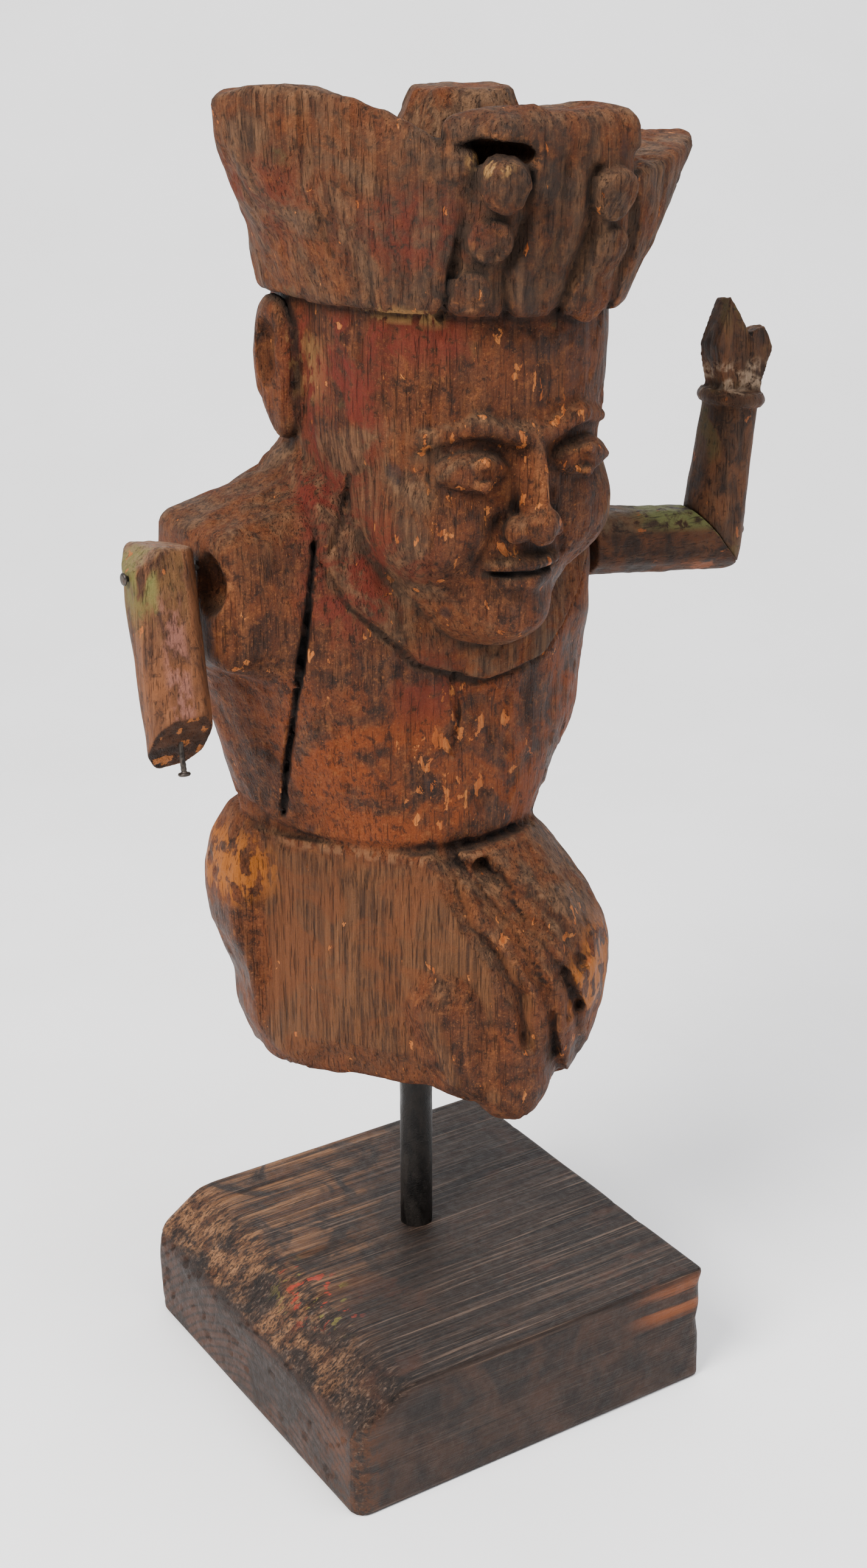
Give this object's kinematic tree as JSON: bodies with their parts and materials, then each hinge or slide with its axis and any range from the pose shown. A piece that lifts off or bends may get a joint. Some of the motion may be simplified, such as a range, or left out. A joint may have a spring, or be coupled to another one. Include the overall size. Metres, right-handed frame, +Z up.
{
  "type": "carved wooden figurine",
  "caption": "Old carved wooden figure of a crowned person with nailed-on arms, held by an iron rod above a square timber block.",
  "frame": {"origin": "centre of the underside of the base block", "axes": "+Z up along the mounting rod, -Y towards the way the figure looks, +X towards the figure's left"},
  "size_m": [0.1652, 0.0996, 0.3025],
  "materials": {
    "figure_wood": "worn paint over old bare wood",
    "base_timber": "dark weathered reclaimed timber",
    "peg_wood": "plain turned dowel",
    "black_iron": "blackened, satin",
    "nail_steel": "dull drawn wire, lightly rusted"
  },
  "bodies": {
    "stand_and_figure": {"base_block": "base_timber", "mounting_rod": "black_iron", "figure_body": "figure_wood", "right_shoulder_nail": "nail_steel", "left_shoulder_peg": "peg_wood"},
    "right_arm": {"right_upper_arm": "figure_wood", "right_elbow_nail": "nail_steel"},
    "left_arm": {"left_upper_arm": "figure_wood", "left_forearm": "figure_wood", "left_elbow_nail": "nail_steel"}
  },
  "joints": [
    {"name": "right_shoulder", "type": "hinge", "parent": "stand_and_figure", "child": "right_arm", "pos_m": [-0.0629, -0.0015, 0.2085], "axis": [1, 0, 0], "range_deg": [-170, 60]},
    {"name": "left_shoulder", "type": "hinge", "parent": "stand_and_figure", "child": "left_arm", "pos_m": [0.0451, 0.004, 0.198], "axis": [1, 0, 0], "range_deg": [-60, 120]}
  ]
}
